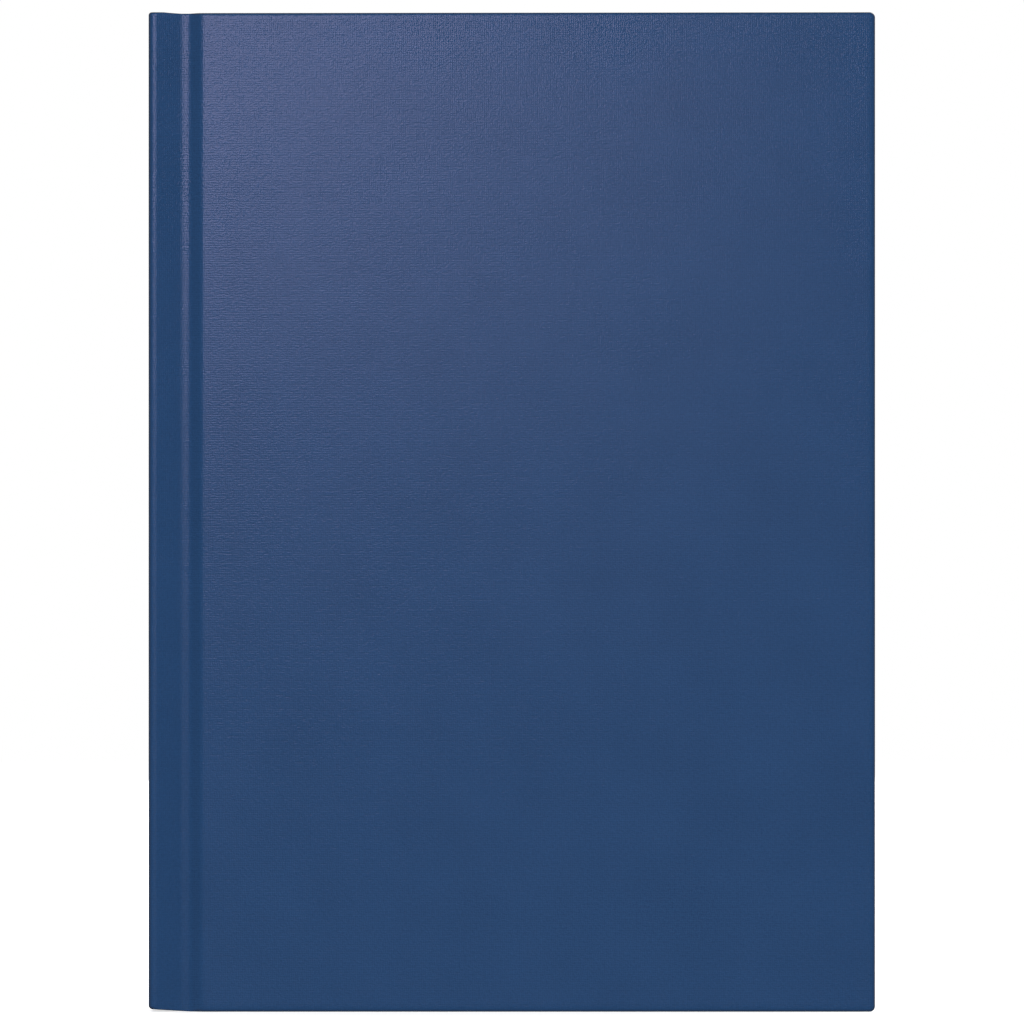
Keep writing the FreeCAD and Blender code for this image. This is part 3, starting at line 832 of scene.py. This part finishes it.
def make_mull(side):
    """The open-weave mull from the block's spine, across the joint and onto the board."""
    start = across_of("spine_mull", 0) + 0.15 * MM
    flange_end = across_of("front_mull_flange", 1)
    flange = (deep_of("front_mull_flange", 0) + deep_of("front_mull_flange", 1)) / 2
    corner = deep_of("front_mull_joint", 1)
    path = rounded_path([
        (start, corner),
        (start, flange + 0.1 * MM, 0.1 * MM),
        (BOARD_START, flange, 0.5 * MM),
        (flange_end, flange),
    ], longest=1.0 * MM)
    low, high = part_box("front_mull_joint")[0].z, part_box("front_mull_joint")[1].z
    path = finer_where_bent(path, BOARD_START, JOINT_STEP)
    mull = make_strip(f"{side}_mull", side, path, low, high, 0.12 * MM, "mull")
    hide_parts(f"{side}_mull_joint", f"{side}_mull_flange")
    bend_joint(mull)


SHEETS_IN_SECTION = 4
LEAF_BEND = 16 * MM
FOLD_CENTRE = FOLD + (deep_of("section_01", 1) - deep_of("section_01", 0)) / 2


def add_folded_sheet(surface, centre, offset, thickness, ends, low, high):
    """Add one sheet folded in half round the section's middle, with its own fore-edges and cut edges."""
    half_circle = [math.radians(degrees) for degrees in range(90, 271, 20)]
    bend_steps = 36
    bend_end = LEAF_BEND + 1 * MM
    columns = [FOLD_CENTRE + bend_end * step / bend_steps for step in range(1, bend_steps + 1)]
    middle = [Vector((ends[0], centre - offset))]
    middle += [Vector((across, centre - offset)) for across in reversed(columns)]
    for angle in half_circle:
        middle.append(Vector((FOLD_CENTRE + offset * math.cos(angle), centre - offset * math.sin(angle))))
    middle += [Vector((across, centre + offset)) for across in columns]
    middle += [Vector((ends[1], centre + offset))]
    lengths = running_lengths(middle)
    fold_length = lengths[-1] / 2
    faces = []
    for way in (-1, 1):
        line = []
        for index, point in enumerate(middle):
            before = middle[max(index - 1, 0)]
            after = middle[min(index + 1, len(middle) - 1)]
            along = (after - before).normalized()
            line.append(point + Vector((-along.y, along.x)) * way * thickness / 2)
        faces.append(line)
    flat = [length - fold_length for length in lengths]
    cut_edges = (low, high)
    for line in faces:
        rows = [[place("front", point.x, point.y, height) for point in line] for height in cut_edges]
        surface.add_grid(rows, [[(length, height) for length in flat] for height in cut_edges])
    for height in cut_edges:
        rows = [[place("front", point.x, point.y, height) for point in line] for line in faces]
        surface.add_grid(rows, [[(length, height) for length in flat]] * 2)
    for end in (0, -1):
        fore_edge = [line[end] for line in faces]
        rows = [[place("front", point.x, point.y, height) for point in fore_edge] for height in cut_edges]
        surface.add_grid(rows, [[(flat[end], height)] * 2 for height in cut_edges])


def make_section(index, dice):
    """Eight leaves: four sheets folded one inside another, cut a little unevenly at the edges."""
    node = f"section_{index:02d}"
    near, far = deep_of(node, 0), deep_of(node, 1)
    centre = (near + far) / 2
    pitch = (far - near) / (2 * SHEETS_IN_SECTION)
    leaf_thickness = pitch * 0.86
    section_slip, leaf_slip, trim = 0.08, 0.06, 0.07  # unevenness of the edges, in mm
    slip = dice.uniform(-section_slip, section_slip) * MM
    surface = Surface()
    for sheet in range(SHEETS_IN_SECTION):
        offset = pitch * (SHEETS_IN_SECTION - sheet - 0.5)
        ends = [PAGE_END + slip + dice.uniform(-leaf_slip, leaf_slip) * MM for _ in range(2)]
        low = PAGE_TAIL + dice.uniform(0.0, trim) * MM
        high = PAGE_HEAD - dice.uniform(0.0, trim) * MM
        add_folded_sheet(surface, centre, offset, leaf_thickness, ends, low, high)
    leaves = surface.finish(f"{node}_leaves", [MATERIALS["page_paper"]])
    shade(leaves, 35)
    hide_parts(node, "section_folds", "section_gutters")
    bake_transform(leaves)


# ---------------------------------------------------------------------------------------------
# Headbands and the spine board
# ---------------------------------------------------------------------------------------------


def add_ring(surface, centre, ring_radius, wire, lean, material):
    """Add one turn of thread round the bead, leaning a little along it."""
    around = 18
    about = 8
    rows = []
    for step in range(around + 1):
        angle = math.tau * step / around
        out = Vector((math.cos(angle), 0.0, math.sin(angle)))
        ring = Vector(centre) + out * ring_radius + Vector((0.0, lean * math.sin(angle), 0.0))
        row = []
        for spoke in range(about + 1):
            turn = math.tau * spoke / about
            row.append(ring + out * wire * math.cos(turn) + Vector((0.0, wire * math.sin(turn), 0.0)))
        rows.append(row)
    surface.add_grid(rows, [[(0.0, 0.0)] * (about + 1)] * (around + 1), material)


def make_headband(end):
    """A bead wound with two colours of thread, sewn to a woven tape that is glued behind the leaves."""
    node = f"headband_{end}"
    low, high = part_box(node)
    bead_radius = 0.8 * MM
    tape_thickness = across_of("spine_mull", 1) - across_of("spine_mull", 0)
    bead_x = high.x - bead_radius
    bead_z = high.z - bead_radius if end == "head" else low.z + bead_radius
    turns = 27
    wire = (high.y - low.y) / turns / 2
    surface = Surface()
    for turn in range(turns):
        y = low.y + wire * (2 * turn + 1)
        material = 0 if turn // 2 % 2 else 1
        add_ring(surface, (bead_x, y, bead_z), bead_radius - wire, wire, wire, material)
    core_radius = bead_radius - wire * 1.2
    sides = 16
    angles = [math.tau * step / sides for step in range(sides + 1)]
    first_y, last_y = low.y + wire / 2, high.y - wire / 2
    core = []
    for y, radius in ((first_y, 0.0), (first_y, core_radius), (last_y, core_radius), (last_y, 0.0)):
        core.append([(bead_x + radius * math.cos(a), y, bead_z + radius * math.sin(a)) for a in angles])
    surface.add_grid(core, [[(0.0, 0.0)] * (sides + 1)] * len(core), 1)
    colors = [MATERIALS["headband_navy"], MATERIALS["headband_white"]]
    bead = surface.finish(f"{node}_bead", colors, weld=1e-7)
    shade(bead, 60)
    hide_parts(node)
    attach(bead, "root")

    tape_end = low.z if end == "head" else high.z
    tape_x = low.x + tape_thickness / 2
    heights = np.linspace(tape_end, bead_z, 6)
    tape = Surface()
    rows = [[(tape_x, y, z) for y in np.linspace(low.y, high.y, 6)] for z in heights]
    tape.add_grid(rows, [[(y, z) for _, y, z in row] for row in rows])
    strip = tape.finish(f"{node}_tape", [MATERIALS["headband_tape"]])
    thicken(strip, tape_thickness * 0.8)
    shade(strip, 35)
    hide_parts(node)
    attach(strip, "root")


def make_spine_board():
    """The spine's stiffener, a little shorter than its room, because the cloth's edges dip near it."""
    low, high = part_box("spine_board")
    end_gap = 0.5 * MM
    radius = SPINE_RADIUS - CLOTH
    outline = rounded_path([
        (high.x, 0.0),
        (high.x, low.y, radius * 0.3),
        (low.x, low.y, radius),
        (low.x, high.y, radius),
        (high.x, high.y, radius * 0.3),
        (high.x, 0.0),
    ], longest=2.0 * MM)
    centre = ((low.x + high.x) / 2, 0.0)
    surface = Surface()
    bottom, top = low.z + end_gap, high.z - end_gap
    rows = [
        [(*centre, bottom) for _ in outline],
        [(point.x, point.y, bottom) for point in outline],
        [(point.x, point.y, top) for point in outline],
        [(*centre, top) for _ in outline],
    ]
    surface.add_grid(rows, [[(x, y) for x, y, _ in row] for row in rows])
    board = surface.finish("spine_stiffener", [MATERIALS["greyboard"]])
    shade(board, 35)
    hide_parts("spine_board")
    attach(board, "root")


# ---------------------------------------------------------------------------------------------
# Stage, light and camera
# ---------------------------------------------------------------------------------------------


def make_floor():
    """A plain white floor under the book."""
    finish = Finish("floor_white", 0.9, specular=0.1)
    finish.shader.inputs["Base Color"].default_value = (0.9, 0.9, 0.9, 1.0)
    finish.shader.inputs["Emission Color"].default_value = (*WHITE, 1.0)
    finish.shader.inputs["Emission Strength"].default_value = 0.62
    radius = 3.0
    sides = 48
    surface = Surface()
    angles = [math.tau * step / sides for step in range(sides + 1)]
    ring = [(radius * math.cos(angle), radius * math.sin(angle), CAD_LOW.z) for angle in angles]
    rows = [[(0.0, 0.0, CAD_LOW.z)] * len(ring), ring]
    surface.add_grid(rows, [[(x, y) for x, y, _ in row] for row in rows])
    floor = surface.finish("floor", [finish.material])
    if floor.data.polygons[0].normal.z < 0:
        floor.data.flip_normals()
    floor.visible_glossy = False
    floor.visible_diffuse = False


def make_world():
    """White where the camera sees it, and dimmer as light, so that the studio lamps shape the book."""
    world = bpy.data.worlds.new("studio")
    bpy.context.scene.world = world
    world.use_nodes = True
    tree = world.node_tree
    background = tree.nodes["Background"]
    background.inputs["Color"].default_value = (*WHITE, 1.0)
    path = tree.nodes.new("ShaderNodeLightPath")
    strength = tree.nodes.new("ShaderNodeMapRange")
    strength.inputs["To Min"].default_value = 0.45
    strength.inputs["To Max"].default_value = 1.0
    tree.links.new(path.outputs["Is Camera Ray"], strength.inputs["Value"])
    tree.links.new(strength.outputs["Result"], background.inputs["Strength"])
    world.cycles_visibility.glossy = False


def make_lamp(name, location, size, power, shiny, color=WHITE, target=(0.0, 0.0, HEIGHT / 2)):
    """A soft square lamp aimed at a point; a lamp that isn't shiny leaves no reflection."""
    lamp = bpy.data.lights.new(name, "AREA")
    lamp.shape = "SQUARE"
    lamp.size = size
    lamp.energy = power
    lamp.color = color
    holder = bpy.data.objects.new(name, lamp)
    bpy.context.scene.collection.objects.link(holder)
    holder.location = location
    holder.rotation_euler = (Vector(target) - Vector(location)).to_track_quat("-Z", "Y").to_euler()
    holder.visible_glossy = shiny
    return holder


def make_camera():
    """A long lens looking square at the front cover, with a narrow margin above and below the book."""
    distance = 3.0
    sensor = 36.0
    margin = 0.0243
    frame_height = HEIGHT * (1 + margin)
    camera = bpy.data.cameras.new("camera")
    camera.sensor_width = sensor
    camera.lens = sensor * distance / frame_height
    camera.clip_end = 20.0
    holder = bpy.data.objects.new("camera", camera)
    bpy.context.scene.collection.objects.link(holder)
    off_centre = 0.04 * MM
    holder.location = (off_centre, CAD_LOW.y - distance, HEIGHT / 2)
    holder.rotation_euler = (math.radians(90), 0.0, 0.0)
    bpy.context.scene.camera = holder


# ---------------------------------------------------------------------------------------------
# The whole scene
# ---------------------------------------------------------------------------------------------

dice = random.Random(7)
for section_number in range(1, 11):
    make_section(section_number, dice)
for cover_side in SIDES:
    make_case_cloth(cover_side)
    make_pastedown(cover_side)
    make_flyleaf(cover_side)
    make_mull(cover_side)
for band_end in ("head", "tail"):
    make_headband(band_end)
make_spine_board()

KEPT_FINISHES = {
    "front_board": MATERIALS["greyboard"],
    "back_board": MATERIALS["greyboard"],
    "spine_lining": MATERIALS["kraft"],
    "spine_mull": mull_lining(),
    "sewing_thread": MATERIALS["thread"],
}
for node, material in KEPT_FINISHES.items():
    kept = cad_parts[node]
    kept.data.materials.clear()
    kept.data.materials.append(material)

make_floor()
make_world()
make_lamp("fill_front", (-0.2, -2.2, 0.5), size=1.6, power=35.0, shiny=False)
make_lamp("fill_back", (-0.6, 2.2, 0.8), size=1.6, power=30.0, shiny=False)
make_lamp("fill_side", (2.0, 0.9, 0.8), size=1.4, power=20.0, shiny=False)
KEY_LOOKS = {"size": 0.20, "power": 0.76, "shiny": True, "color": (0.87, 0.785, 1.0)}
key = make_lamp("key", (-0.10, -0.34, 0.267), target=(0.0, 0.0, 0.15), **KEY_LOOKS)
key.visible_diffuse = False
make_lamp("rim_back", (0.45, 0.6, 0.7), size=0.4, power=3.0, shiny=True)
make_camera()

bpy.context.scene.view_settings.view_transform = "Standard"
bpy.context.scene.view_settings.look = "None"
